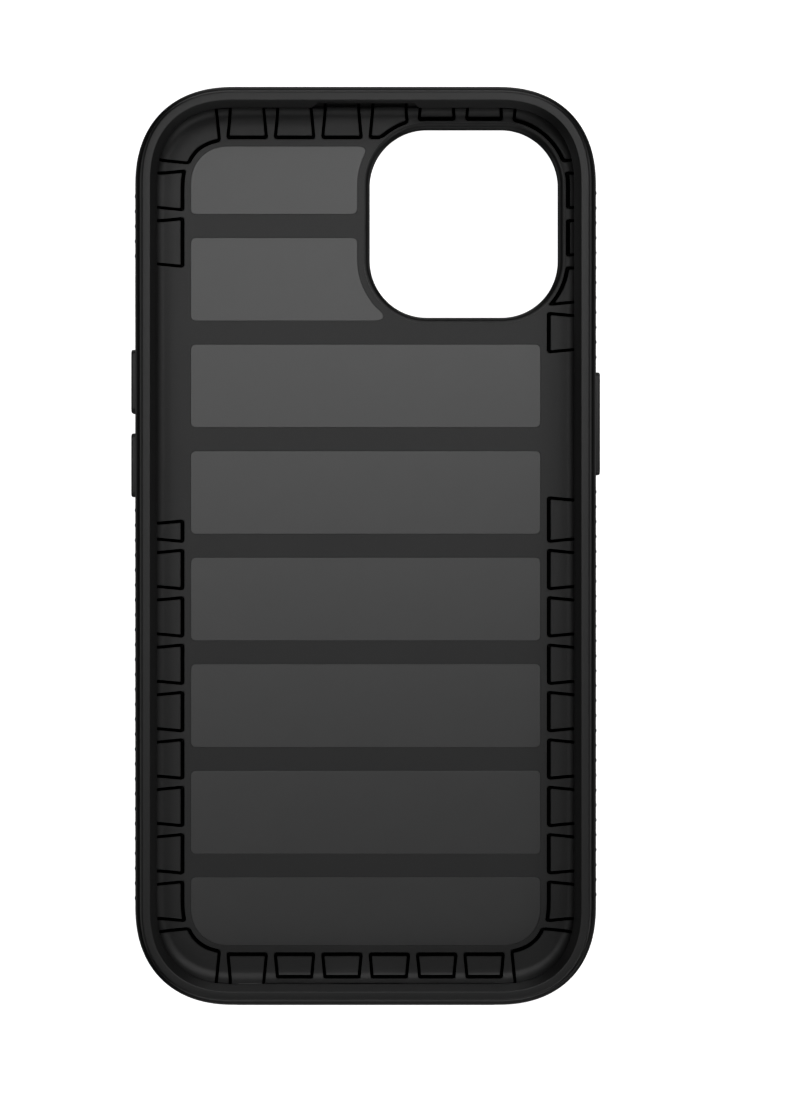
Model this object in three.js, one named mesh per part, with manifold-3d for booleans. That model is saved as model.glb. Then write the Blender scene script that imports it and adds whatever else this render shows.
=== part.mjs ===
// Two-layer protective phone case, lying on its back.
// Millimetres. +Z points out of the open side, +Y towards the camera end, +X across the case.
// The origin is the centre of the case's footprint, on the surface that it lies on.

import * as THREE from "three";
import { mergeVertices } from "three/addons/utils/BufferGeometryUtils.js";
import Module from "manifold-3d";

const wasm = await Module();
wasm.setup();

// ---- Phone and walls ----
const PHONE_WIDTH = 71.8;
const PHONE_LENGTH = 147.6;
const PHONE_DEPTH = 7.8;
const WALL = 2.3;
const CASE_WIDTH = PHONE_WIDTH + 2 * WALL;
const CASE_LENGTH = PHONE_LENGTH + 2 * WALL;
const JOINT_GAP = 0.15;
const KEY_GAP = 0.3;

// ---- Corners: each follows |x|^n + |y|^n = 1, which eases into the straight sides ----
const CORNER_SPAN = 16.6;
const CORNER_POWER = 2.32;
const CORNER_STEPS = 10;

// ---- Heights, measured up from the surface ----
const RIDGE_HEIGHT = 0.4;
const BACK_THICKNESS = 1.0;
const LINER_FLOOR = 1.15;
const BACK_Z = RIDGE_HEIGHT;
const LINER_Z = BACK_Z + BACK_THICKNESS + JOINT_GAP;
const SEAT_Z = LINER_Z + LINER_FLOOR;
const PHONE_PLAY = 0.1;
const LIP_UNDER_Z = SEAT_Z + PHONE_DEPTH + PHONE_PLAY;
const CASE_HEIGHT = 12;
const SHELL_TOP_Z = 9.8;
const RIM_Z = SHELL_TOP_Z + JOINT_GAP;
const KEY_Z = SEAT_Z + PHONE_DEPTH / 2;

// ---- Outer shell ----
const SHELL_WALL = 1.0;
const BACK_EDGE_WIDTH = 2.2;
const BACK_EDGE_RISE = 2.6;
const SHELL_TOP_EDGE = 0.38;
const SHELL_TOP_EDGE_STEPS = 2;
const MOST_EDGE_TRIM = 0.6;
const EDGE_STEPS = 3;

// ---- Inner liner ----
const LINER_INSET = SHELL_WALL + JOINT_GAP;
const FILLET = 2.2;
const CELL_DEPTH = 0.5;
const CELL_WALL_SHARE = 0.7;

// ---- Bezel rim ----
const RIM_INSET = 0.85;
const RIM_EDGE_WIDTH = 0.7;
const RIM_EDGE_RISE = 1.4;
const LIP_TOP_INSET = 2.7;
const LIP_INSET = 3.75;
const LIP_SLOPE_Z = 10.9;
const NOTCH_HALF = 7.7;
const NOTCH_MOUTH_HALF = 9;
const NOTCH_INSET = 3.05;

// ---- Perimeter air cells, cut into the liner ----
const CELL_PITCH = 7.97;
const CELL_HALF = 3.51;
const CELL_TAPER = 0.096;
const CELL_END_INSET = 8.1;
const CELL_TOP_Z = 9;
const CELL_CLOSED_INSET = 4;
const CAMERA_CELL_MARGIN = 1.5;

// ---- Camera opening ----
const CAMERA = { x: 16.65, y: 54.45, half: 15.95, radius: 9.6 };
const SLEEVE = 1;
const GUARD_WIDTH = 3;
const GUARD_HEIGHT = 0.8;

// ---- Inlay panels on the floor ----
const PANEL_COUNT = 8;
const PANEL_PITCH = 17.93;
const PANEL_LENGTH = 13.93;
const PANEL_HALF_WIDTH = 29.4;
const PANEL_FIELD_HALF = 67.2;
const PANEL_RADIUS = 0.9;
const PANEL_FIELD_RADIUS = 6.4;
const PANEL_CAMERA_MARGIN = 2.1;

// ---- Keys ----
const KEY_PROUD = 0.74;
const KEY_HEIGHT = 3.6;
const KEY_RADIUS = 0.9;
const KEY_EDGE = 0.3;
const KEY_FLANGE = 0.45;
const KEY_FLANGE_THICKNESS = 0.4;
const KEY_NUB_INSET = 0.9;
const KEY_NUB_GAP = 0.1;
const KEYS = [
  { name: "volume_up_button", side: -1, y: 27.3, length: 10.6 },
  { name: "volume_down_button", side: -1, y: 13.4, length: 10.6 },
  { name: "side_button", side: 1, y: 20.3, length: 17.1 },
];

// ---- Side openings ----
const SWITCH = { y: 41.4, z: 6.3, length: 7.6, height: 4.3, radius: 1, frame: 0.75 };
const PORT = { z: 6.3, length: 13, height: 4.9, radius: 2.05 };
const SPEAKER = { x: 15.6, length: 9.6, height: 2.4, radius: 1.1 };
const INSERT = { halfLength: 22.4, halfHeight: 2.95, radius: 1.6 };

// ---- Ridged grips, as stretches of Y on each side ----
const GRIP_PITCH = 2.49;
const GRIP_RIDGE = 1.3;
const GRIP_DEPTH = 0.5;
const GRIP_TOP_Z = 8.6;
const GRIP_BACK_REACH = 9;
const GRIPS = [
  { name: "grip_left_upper", side: -1, from: 46.5, to: 60.2 },
  { name: "grip_left_lower", side: -1, from: -60.2, to: 7.3 },
  { name: "grip_right_upper", side: 1, from: 30.2, to: 60.2 },
  { name: "grip_right_lower", side: 1, from: -60.2, to: 11 },
];

// ---- Finishes ----
const FINISH = {
  shell: { color: 0x1d1d1e, roughness: 0.45, metalness: 0 },
  liner: { color: 0x2c2c2d, roughness: 0.6, metalness: 0 },
  rim: { color: 0x303031, roughness: 0.55, metalness: 0 },
  ring: { color: 0x252526, roughness: 0.5, metalness: 0 },
  panel: { color: 0x4b4b4c, roughness: 0.5, metalness: 0 },
  key: { color: 0x262627, roughness: 0.45, metalness: 0 },
  grip: { color: 0x202021, roughness: 0.7, metalness: 0 },
};

// How far a cutter runs past what it cuts, and a distance beyond the whole case.
const OVER = 1;
const FAR = 200;

// ================= Solids =================

// A closed three.js geometry as a solid that can be joined and cut.
function solidOf(geometry) {
  geometry.deleteAttribute("normal");
  geometry.deleteAttribute("uv");
  const merged = mergeVertices(geometry, 1e-5);
  const mesh = new wasm.Mesh({
    numProp: 3,
    vertProperties: new Float32Array(merged.attributes.position.array),
    triVerts: new Uint32Array(merged.index.array),
  });
  return new wasm.Manifold(mesh);
}

function geometryOf(solid) {
  const mesh = solid.getMesh();
  const geometry = new THREE.BufferGeometry();
  geometry.setAttribute("position", new THREE.BufferAttribute(new Float32Array(mesh.vertProperties), 3));
  geometry.setIndex(new THREE.BufferAttribute(new Uint32Array(mesh.triVerts), 1));
  geometry.computeVertexNormals();
  return geometry;
}

function unite(solids) {
  return solids.reduce((sum, solid) => sum.add(solid));
}

// A box between two corners.
function block(low, high) {
  const size = high.map((value, axis) => value - low[axis]);
  const geometry = new THREE.BoxGeometry(...size);
  geometry.translate(...low.map((value, axis) => value + size[axis] / 2));
  return solidOf(geometry);
}

// An outline in the XY plane, extruded from one height to another.
function prism(points, low, high) {
  const geometry = new THREE.ExtrudeGeometry(new THREE.Shape(points), {
    depth: high - low,
    bevelEnabled: false,
  });
  geometry.translate(0, 0, low);
  return solidOf(geometry);
}

// ================= Outlines =================

// The case's outline, moved inwards by an even distance all round.
function caseOutline(inset) {
  const quarter = [];
  for (let step = 0; step <= CORNER_STEPS; step += 1) {
    const turn = (step / CORNER_STEPS) * (Math.PI / 2);
    const u = Math.cos(turn) ** (2 / CORNER_POWER);
    const v = Math.sin(turn) ** (2 / CORNER_POWER);
    const normal = new THREE.Vector2(u ** (CORNER_POWER - 1), v ** (CORNER_POWER - 1)).normalize();
    quarter.push(new THREE.Vector2(
      CASE_WIDTH / 2 - CORNER_SPAN * (1 - u) - inset * normal.x,
      CASE_LENGTH / 2 - CORNER_SPAN * (1 - v) - inset * normal.y,
    ));
  }
  const back = [...quarter].reverse();
  return [
    ...quarter,
    ...back.map((p) => new THREE.Vector2(-p.x, p.y)),
    ...quarter.map((p) => new THREE.Vector2(-p.x, -p.y)),
    ...back.map((p) => new THREE.Vector2(p.x, -p.y)),
  ];
}

// A corner-rounded polygon: each corner is { x, y, radius }.
function roundedOutline(corners, steps) {
  const points = [];
  corners.forEach((corner, index) => {
    const here = new THREE.Vector2(corner.x, corner.y);
    const before = corners[(index + corners.length - 1) % corners.length];
    const after = corners[(index + 1) % corners.length];
    if (!corner.radius) {
      points.push(here);
      return;
    }
    const towardsBefore = new THREE.Vector2(before.x, before.y).sub(here);
    const towardsAfter = new THREE.Vector2(after.x, after.y).sub(here);
    const half = Math.abs(towardsBefore.angleTo(towardsAfter)) / 2;
    const trim = Math.min(
      corner.radius / Math.tan(half),
      0.9 * towardsBefore.length(),
      0.9 * towardsAfter.length(),
    );
    const start = here.clone().addScaledVector(towardsBefore.normalize(), trim);
    const end = here.clone().addScaledVector(towardsAfter.normalize(), trim);
    points.push(...new THREE.QuadraticBezierCurve(start, here, end).getPoints(steps));
  });
  return points;
}

// A rounded rectangle about the origin.
function roundedRectangle(halfX, halfY, radius, steps = 4) {
  const points = [];
  const centres = [[1, 1, 0], [-1, 1, 1], [-1, -1, 2], [1, -1, 3]];
  for (const [signX, signY, quarter] of centres) {
    for (let step = 0; step <= steps; step += 1) {
      const turn = (quarter + step / steps) * (Math.PI / 2);
      points.push(new THREE.Vector2(
        signX * (halfX - radius) + radius * Math.cos(turn),
        signY * (halfY - radius) + radius * Math.sin(turn),
      ));
    }
  }
  return points;
}

// The camera opening's outline, grown outwards by a margin.
function cameraOutline(margin) {
  return roundedRectangle(CAMERA.half + margin, CAMERA.half + margin, CAMERA.radius + margin, 7)
    .map((p) => p.add(new THREE.Vector2(CAMERA.x, CAMERA.y)));
}

// ================= Tray forms =================

// A solid with the case's outline, from one height to another.
function slab(inset, low, high) {
  return prism(caseOutline(inset), low, high);
}

// A slab with its lower edge, its upper edge or both rounded off.
function roundedSlab(inset, low, high, lower, upper) {
  const form = (edge, bottom, top) => {
    const geometry = new THREE.ExtrudeGeometry(new THREE.Shape(caseOutline(inset)), {
      depth: top - bottom - 2 * edge.rise,
      bevelEnabled: true,
      bevelThickness: edge.rise,
      bevelSize: edge.width,
      bevelOffset: -edge.width,
      bevelSegments: edge.steps,
    });
    geometry.translate(0, 0, bottom + edge.rise);
    return solidOf(geometry);
  };
  let solid = slab(inset, low, high);
  if (lower) solid = solid.intersect(form(lower, low, high + 2 * lower.rise + OVER));
  if (upper) solid = solid.intersect(form(upper, low - 2 * upper.rise - OVER, high));
  return solid;
}

// The outside of the case as far as the shell's top edge, moved inwards by an inset.
function outsideForm(inset, top = SHELL_TOP_Z) {
  const trim = Math.min(inset, MOST_EDGE_TRIM);
  const width = BACK_EDGE_WIDTH - trim;
  const rise = BACK_EDGE_RISE - trim;
  return roundedSlab(inset, BACK_Z + inset, top, { width, rise, steps: EDGE_STEPS }, null);
}

// The space that the phone fills, up through the mouth, or a space somewhat deeper than that.
function phoneSpace(deeper) {
  const edge = { width: FILLET, rise: FILLET, steps: EDGE_STEPS };
  return roundedSlab(WALL - deeper * CELL_WALL_SHARE, SEAT_Z - deeper, CASE_HEIGHT + OVER, edge, null);
}

// ================= Openings =================

// A prism along X through one side wall, from one X to another.
function sideWindow(outline, y, z, low, high) {
  const geometry = new THREE.ExtrudeGeometry(new THREE.Shape(outline), {
    depth: high - low,
    bevelEnabled: false,
  });
  geometry.rotateZ(Math.PI / 2);
  geometry.rotateY(Math.PI / 2);
  geometry.translate(low, y, z);
  return solidOf(geometry);
}

// A prism along Y through the bottom wall, from one Y to another.
function endWindow(outline, x, z, low, high) {
  const geometry = new THREE.ExtrudeGeometry(new THREE.Shape(outline), {
    depth: high - low,
    bevelEnabled: false,
  });
  geometry.rotateX(Math.PI / 2);
  geometry.translate(x, high, z);
  return solidOf(geometry);
}

// A span of X given as depths below one side's outer face; negative depths stand proud of it.
function throughSide(side, outer, inner) {
  const edge = CASE_WIDTH / 2;
  return side > 0 ? [edge - inner, edge - outer] : [-edge + outer, -edge + inner];
}

function keyHole(key, margin, outer, inner) {
  const outline = roundedRectangle(key.length / 2 + margin, KEY_HEIGHT / 2 + margin, KEY_RADIUS + margin / 2);
  return sideWindow(outline, key.y, KEY_Z, ...throughSide(key.side, outer, inner));
}

function switchPrism(margin, outer, inner) {
  const halfLength = SWITCH.length / 2 + margin;
  const halfHeight = SWITCH.height / 2 + margin;
  const outline = roundedRectangle(halfLength, halfHeight, SWITCH.radius + margin);
  return sideWindow(outline, SWITCH.y, SWITCH.z, ...throughSide(-1, outer, inner));
}

function insertPrism(margin, outer, inner) {
  const outline = roundedRectangle(
    INSERT.halfLength + margin, INSERT.halfHeight + margin, INSERT.radius + margin,
  );
  return endWindow(outline, 0, PORT.z, -CASE_LENGTH / 2 + outer, -CASE_LENGTH / 2 + inner);
}

// ================= Air cells =================

// The sides that the cells line. place turns a distance out from the middle and a distance along
// the side into a point; plain is the stretch behind the keys, which has no cells.
const SIDES = [
  { place: (out, along) => new THREE.Vector2(-out, along), reach: CASE_WIDTH / 2, cells: 8, plain: [4.5, 46.7] },
  { place: (out, along) => new THREE.Vector2(out, along), reach: CASE_WIDTH / 2, cells: 8, plain: [8.4, 32.3] },
  { place: (out, along) => new THREE.Vector2(along, out), reach: CASE_LENGTH / 2, cells: 3 },
  { place: (out, along) => new THREE.Vector2(along, -out), reach: CASE_LENGTH / 2, cells: 3, closed: true },
];

// Where each cell starts and ends along its side. A cell next to the plain stretch runs up to it.
function cellSpans(side) {
  const spans = [];
  for (let index = -side.cells; index < side.cells; index += 1) {
    const centre = (index + 0.5) * CELL_PITCH;
    spans.push({ centre, from: centre - CELL_HALF, to: centre + CELL_HALF });
  }
  if (!side.plain) return spans;
  const [plainFrom, plainTo] = side.plain;
  for (const span of spans) {
    if (span.centre < plainFrom && span.centre + CELL_PITCH > plainFrom) {
      span.to = plainFrom;
    }
    if (span.centre > plainTo && span.centre - CELL_PITCH < plainTo) {
      span.from = plainTo;
    }
  }
  return spans.filter((span) => span.centre < plainFrom || span.centre > plainTo);
}

function counterClockwise(points) {
  return THREE.ShapeUtils.isClockWise(points) ? points.reverse() : points;
}

// A cell narrows towards the wall, so that the ribs between the cells widen.
function straightCells() {
  return SIDES.flatMap((side) => cellSpans(side).map((span) => {
    const end = side.reach - CELL_END_INSET;
    const inner = end - OVER;
    const outer = side.reach - (side.closed ? CELL_CLOSED_INSET : 0);
    const innerTaper = CELL_TAPER * (inner - end);
    const outerTaper = CELL_TAPER * (outer - end);
    const outline = [
      side.place(inner, span.from + innerTaper),
      side.place(outer, span.from + outerTaper),
      side.place(outer, span.to - outerTaper),
      side.place(inner, span.to - innerTaper),
    ];
    return prism(counterClockwise(outline), 0, CELL_TOP_Z);
  }));
}

// The four corner cells fill the corners of the tray beyond the last straight cells.
function cornerCells() {
  const rib = CELL_PITCH / 2 - CELL_HALF;
  const taper = CELL_TAPER * CELL_END_INSET;
  const floorX = 3 * CELL_PITCH + rib;
  const floorY = 8 * CELL_PITCH + rib;
  return [[1, 1], [-1, 1], [-1, -1], [1, -1]].map(([signX, signY]) => {
    const outline = [
      new THREE.Vector2(signX * floorX, signY * (CASE_LENGTH / 2 - CELL_END_INSET - CELL_HALF)),
      new THREE.Vector2(signX * (floorX - taper), signY * CASE_LENGTH),
      new THREE.Vector2(signX * CASE_LENGTH, signY * CASE_LENGTH),
      new THREE.Vector2(signX * CASE_LENGTH, signY * (floorY - taper)),
      new THREE.Vector2(signX * (CASE_WIDTH / 2 - CELL_END_INSET - CELL_HALF), signY * floorY),
    ];
    return prism(counterClockwise(outline), 0, CELL_TOP_Z);
  });
}

// Shallow recesses in the floor and up the wall that trap air behind the phone's edge. Their
// inner ends follow the case's outline, or the camera opening's where it is in the way.
function airCells() {
  return unite([...straightCells(), ...cornerCells()])
    .subtract(slab(CELL_END_INSET, -OVER, CASE_HEIGHT))
    .subtract(prism(cameraOutline(CAMERA_CELL_MARGIN), -OVER, CASE_HEIGHT))
    .intersect(phoneSpace(CELL_DEPTH));
}

// ================= Sub-parts =================

// The ring edge of the camera opening on its left side, at a height along Y.
function cameraEdgeX(y, margin) {
  const half = CAMERA.half + margin;
  const radius = CAMERA.radius + margin;
  const past = Math.max(Math.abs(y - CAMERA.y) - (half - radius), 0);
  return CAMERA.x - half + radius - Math.sqrt(radius ** 2 - past ** 2);
}

// A floor panel's outline, grown outwards by a margin. Panel 0 is at the camera end.
function panelOutline(index, grow) {
  const middle = ((PANEL_COUNT - 1) / 2 - index) * PANEL_PITCH;
  const top = Math.min(middle + PANEL_LENGTH / 2, PANEL_FIELD_HALF) + grow;
  const bottom = Math.max(middle - PANEL_LENGTH / 2, -PANEL_FIELD_HALF) - grow;
  const side = PANEL_HALF_WIDTH + grow;
  const small = PANEL_RADIUS + grow;
  const topRadius = index === 0 ? PANEL_FIELD_RADIUS : small;
  const bottomRadius = index === PANEL_COUNT - 1 ? PANEL_FIELD_RADIUS : small;
  const corners = [
    { x: -side, y: top, radius: topRadius },
    { x: -side, y: bottom, radius: bottomRadius },
  ];
  const besideCamera = bottom < CAMERA.y + CAMERA.half && top > CAMERA.y - CAMERA.half;
  if (!besideCamera) {
    corners.push({ x: side, y: bottom, radius: bottomRadius }, { x: side, y: top, radius: topRadius });
    return roundedOutline(corners, 5);
  }
  const steps = 6;
  for (let step = 0; step <= steps; step += 1) {
    const y = bottom + (top - bottom) * (step / steps);
    const radius = step === 0 || step === steps ? small : 0;
    corners.push({ x: cameraEdgeX(y, PANEL_CAMERA_MARGIN - grow), y, radius });
  }
  return roundedOutline(corners, 5);
}

function innerPanel(index) {
  return prism(panelOutline(index, 0), LINER_Z, SEAT_Z);
}

// One grip: a skin let into the shell, with ridges across it that wrap from the side to the back.
function gripStretch(grip, inner, outer, top) {
  const inboard = CASE_WIDTH / 2 - GRIP_BACK_REACH;
  const low = grip.side > 0 ? inboard : -FAR;
  const high = grip.side > 0 ? FAR : -inboard;
  const region = block([low, grip.from, -OVER], [high, grip.to, top]);
  return outsideForm(outer, SHELL_TOP_Z).subtract(outsideForm(inner, SHELL_TOP_Z + OVER)).intersect(region);
}

// The back around the camera guard, which the grips stop short of.
function guardSurround() {
  return prism(cameraOutline(GUARD_WIDTH + 2 * JOINT_GAP), -OVER, SEAT_Z);
}

function grip(stretch) {
  const skin = gripStretch(stretch, GRIP_DEPTH, 0, GRIP_TOP_Z);
  const length = stretch.to - stretch.from;
  const count = Math.floor(length / GRIP_PITCH);
  const proud = gripStretch(stretch, GRIP_DEPTH, -RIDGE_HEIGHT, GRIP_TOP_Z - RIDGE_HEIGHT);
  const ridges = [];
  for (let index = 0; index < count; index += 1) {
    const y = (stretch.from + stretch.to) / 2 + (index - (count - 1) / 2) * GRIP_PITCH;
    const slice = block([-FAR, y - GRIP_RIDGE / 2, -OVER], [FAR, y + GRIP_RIDGE / 2, CASE_HEIGHT]);
    ridges.push(proud.intersect(slice));
  }
  return unite([skin, ...ridges]).subtract(guardSurround());
}

function outerShell() {
  const form = roundedSlab(
    0, BACK_Z, SHELL_TOP_Z,
    { width: BACK_EDGE_WIDTH, rise: BACK_EDGE_RISE, steps: EDGE_STEPS },
    { width: SHELL_TOP_EDGE, rise: SHELL_TOP_EDGE, steps: SHELL_TOP_EDGE_STEPS },
  );
  const edge = { width: BACK_EDGE_WIDTH - SHELL_WALL, rise: BACK_EDGE_RISE - SHELL_WALL, steps: EDGE_STEPS };
  const cavity = roundedSlab(SHELL_WALL, BACK_Z + BACK_THICKNESS, CASE_HEIGHT, edge, null);
  const cuts = [
    prism(cameraOutline(SLEEVE + JOINT_GAP), -OVER, SEAT_Z),
    prism(cameraOutline(GUARD_WIDTH + JOINT_GAP), -OVER, GUARD_HEIGHT + JOINT_GAP),
    switchPrism(SWITCH.frame + JOINT_GAP, -OVER, WALL),
    insertPrism(JOINT_GAP, -OVER, WALL),
    ...KEYS.map((key) => keyHole(key, KEY_GAP, -OVER, LINER_INSET)),
    ...GRIPS.map((stretch) => gripStretch(
      { ...stretch, from: stretch.from - JOINT_GAP, to: stretch.to + JOINT_GAP },
      GRIP_DEPTH + JOINT_GAP, -OVER, GRIP_TOP_Z + JOINT_GAP,
    )),
  ];
  return form.subtract(cavity).subtract(unite(cuts));
}

function innerLiner() {
  const edge = { width: FILLET, rise: FILLET, steps: EDGE_STEPS };
  const form = roundedSlab(LINER_INSET, LINER_Z, SHELL_TOP_Z, edge, null);
  const cuts = [
    prism(cameraOutline(SLEEVE + JOINT_GAP), 0, CASE_HEIGHT),
    switchPrism(SWITCH.frame + JOINT_GAP, 0, WALL + FILLET),
    insertPrism(JOINT_GAP, 0, WALL + FILLET),
    ...KEYS.map((key) => keyHole(key, KEY_FLANGE + KEY_GAP, 0, WALL + FILLET)),
    airCells(),
  ];
  for (let index = 0; index < PANEL_COUNT; index += 1) {
    cuts.push(prism(panelOutline(index, JOINT_GAP), 0, SEAT_Z + OVER));
  }
  return form.subtract(phoneSpace(0)).subtract(unite(cuts));
}

function bezelRim() {
  const form = roundedSlab(
    RIM_INSET, RIM_Z, CASE_HEIGHT, null,
    { width: RIM_EDGE_WIDTH, rise: RIM_EDGE_RISE, steps: EDGE_STEPS },
  );
  const slopeRise = CASE_HEIGHT - LIP_SLOPE_Z;
  const slopeWidth = LIP_INSET - LIP_TOP_INSET;
  const mouth = roundedSlab(
    LIP_TOP_INSET - slopeWidth, LIP_SLOPE_Z, CASE_HEIGHT + slopeRise,
    { width: 2 * slopeWidth, rise: 2 * slopeRise, steps: 1 }, null,
  );
  const lipY = CASE_LENGTH / 2 - LIP_INSET;
  const notchY = CASE_LENGTH / 2 - NOTCH_INSET;
  const notch = prism([
    new THREE.Vector2(-NOTCH_MOUTH_HALF, lipY - OVER),
    new THREE.Vector2(NOTCH_MOUTH_HALF, lipY - OVER),
    new THREE.Vector2(NOTCH_MOUTH_HALF, lipY),
    new THREE.Vector2(NOTCH_HALF, notchY),
    new THREE.Vector2(-NOTCH_HALF, notchY),
    new THREE.Vector2(-NOTCH_MOUTH_HALF, lipY),
  ], RIM_Z - OVER, CASE_HEIGHT + OVER);
  return form
    .subtract(slab(WALL, RIM_Z - OVER, LIP_UNDER_Z))
    .subtract(slab(LIP_INSET, RIM_Z - OVER, CASE_HEIGHT + OVER))
    .subtract(mouth)
    .subtract(notch);
}

function cameraRing() {
  const sleeve = prism(cameraOutline(SLEEVE), 0, SEAT_Z);
  const guard = prism(cameraOutline(GUARD_WIDTH), 0, GUARD_HEIGHT);
  return sleeve.add(guard).subtract(prism(cameraOutline(0), -OVER, SEAT_Z + OVER));
}

// A key: a head through the shell, a flange behind the shell wall, and a nub facing the phone.
function key(definition) {
  const flangeOuter = SHELL_WALL + KEY_GAP;
  const flangeInner = flangeOuter + KEY_FLANGE_THICKNESS;
  return unite([
    keyHole(definition, -KEY_EDGE, -KEY_PROUD, flangeInner),
    keyHole(definition, 0, -KEY_PROUD + KEY_EDGE, flangeInner),
    keyHole(definition, KEY_FLANGE, flangeOuter, flangeInner),
    keyHole(definition, -KEY_NUB_INSET, flangeOuter, WALL - KEY_NUB_GAP),
  ]);
}

function switchSurround() {
  return switchPrism(SWITCH.frame, 0, WALL).subtract(switchPrism(0, -OVER, WALL + OVER));
}

function portSurround() {
  const outer = -CASE_LENGTH / 2 - OVER;
  const inner = -CASE_LENGTH / 2 + WALL + OVER;
  const port = roundedRectangle(PORT.length / 2, PORT.height / 2, PORT.radius);
  const slot = roundedRectangle(SPEAKER.length / 2, SPEAKER.height / 2, SPEAKER.radius);
  return insertPrism(0, 0, WALL)
    .subtract(endWindow(port, 0, PORT.z, outer, inner))
    .subtract(endWindow(slot, SPEAKER.x, PORT.z, outer, inner))
    .subtract(endWindow(slot, -SPEAKER.x, PORT.z, outer, inner));
}

// ================= Assembly =================

const phoneCase = new THREE.Group();

function place(name, solid, finish) {
  const mesh = new THREE.Mesh(geometryOf(solid), new THREE.MeshStandardMaterial(FINISH[finish]));
  mesh.name = name;
  phoneCase.add(mesh);
}

place("outer_shell", outerShell(), "shell");
place("inner_liner", innerLiner(), "liner");
place("bezel_rim", bezelRim(), "rim");
place("camera_ring", cameraRing(), "ring");
place("switch_surround", switchSurround(), "liner");
place("port_surround", portSurround(), "liner");
for (let index = 0; index < PANEL_COUNT; index += 1) {
  place(`inner_panel_${index + 1}`, innerPanel(index), "panel");
}
for (const definition of KEYS) {
  place(definition.name, key(definition), "key");
}
for (const stretch of GRIPS) {
  place(stretch.name, grip(stretch), "grip");
}

export default phoneCase;
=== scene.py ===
"""Visual model of the phone case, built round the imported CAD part."""

import math

import bmesh
import bpy
import numpy as np
from mathutils import Matrix, Vector
from mathutils.geometry import delaunay_2d_cdt
from mathutils.kdtree import KDTree


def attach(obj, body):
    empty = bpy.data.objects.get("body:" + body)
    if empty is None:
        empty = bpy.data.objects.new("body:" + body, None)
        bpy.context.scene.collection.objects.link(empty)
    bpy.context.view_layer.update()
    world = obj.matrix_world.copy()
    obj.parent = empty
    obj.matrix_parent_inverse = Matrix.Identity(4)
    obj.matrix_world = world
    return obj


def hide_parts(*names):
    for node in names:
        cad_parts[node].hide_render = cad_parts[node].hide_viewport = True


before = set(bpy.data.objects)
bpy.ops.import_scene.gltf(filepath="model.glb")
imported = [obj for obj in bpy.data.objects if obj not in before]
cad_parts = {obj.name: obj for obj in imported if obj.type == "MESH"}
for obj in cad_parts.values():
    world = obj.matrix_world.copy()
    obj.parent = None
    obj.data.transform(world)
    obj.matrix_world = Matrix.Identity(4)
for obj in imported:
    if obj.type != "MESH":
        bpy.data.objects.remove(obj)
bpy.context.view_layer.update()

# Every length below is in millimetres, in the CAD part's frame, unless it says otherwise.
MM = 0.001

# ---- The case, as the CAD part has it ----
WIDTH = 76.4
LENGTH = 152.2
CORNER_SPAN = 16.6
CORNER_POWER = 2.32
WALL = 2.3
SHELL_WALL = 1.0
BACK_Z = 0.4
SHELL_FLOOR_Z = 1.4
LINER_Z = 1.55
SEAT_Z = 2.7
SHELL_TOP_Z = 9.8
RIM_Z = 9.95
TOP_Z = 12.0
LIP_UNDER_Z = 10.6
KEY_Z = 6.6
JOINT_GAP = 0.15

# ---- Outer shell: its tilt is in degrees from the horizontal ----
BACK_EDGE_WIDTH = 2.2
BACK_EDGE_RISE = 2.6
SHELL_TOP_ROUND = 0.85
SHELL_TOP_TILT = 27
SEAM_OUTER = 0.74
SEAM_EASE = 0.06
SEAM_FLOOR_Z = 9.3
SHELL_WINDOW_DEPTH = 1.08
SHELL_FIT = 0.06

# ---- Bezel rim ----
RIM_INSET = 0.9
RIM_EDGE_WIDTH = 0.66
RIM_EDGE_RISE = 1.4
LIP_TOP_INSET = 2.68
LIP_INSET = 3.75
LIP_SLOPE_Z = 10.9
NOTCH_HALF = 7.7
NOTCH_MOUTH_HALF = 9.0
NOTCH_INSET = 3.05
RIM_FOOT_ROUND = 0.06
LIP_BEND = 0.22
LIP_NOSE = 0.14
LIP_NOSE_DROP = 0.02
LIP_UNDER_ROUND = 0.08

# ---- Inner liner ----
LINER_INSET = SHELL_WALL + JOINT_GAP
FILLET = 2.2
FLOOR_INSET = WALL + FILLET
LINER_FIT = 0.03

# ---- Air cells: pads outlined by narrow grooves ----
CELL_PITCH = 7.97
CELL_HALF = 3.56
CELL_TAPER = 0.096
CELL_END = 7.75
CORNER_CELL_END = 8.05
CELL_CORNER = 0.66
CAMERA_CELL_MARGIN = 1.2
GROOVE_DEPTH = 1.0
GROOVE_SIDE_WIDTH = 0.58
GROOVE_END_WIDTH = 0.72
PAD_DEPTH = 0.24
LIP_SPAN = 0.11
GROOVE_ROUGHNESS = 0.22
# Painted shade: the near-black colour that groove walls get, standing in for the shade deep inside the
# grooves.
GROOVE_PAINTED_SHADE = (0.0012, 0.0012, 0.0012)

# ---- Cells of the bottom end that stop short of the wall, counted from the middle ----
STOPPED_FROM = -2
STOPPED_TO = 3
STOP_INSET = 3.36
STOP_CORNER = 0.35
STOP_NEAR = 0.9
STOP_BLEND = 0.4

# ---- Relief groove at the foot of the liner's wall ----
FOOT_INSET = 2.7
FOOT_FLOOR_Z = 2.9
FOOT_SLANT = 0.04
FOOT_TOP_Z = 3.9

# ---- Camera opening ----
CAMERA_X = 16.58
CAMERA_Y = 54.36
CAMERA_HALF = 15.88
CAMERA_RADIUS = 9.6
SLEEVE = 1.0
GUARD_WIDTH = 3.0
GUARD_HEIGHT = 0.8
GUARD_OUTER_ROUND = 0.5
GUARD_INNER_ROUND = 0.3
RING_ROUND = 1.3

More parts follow.
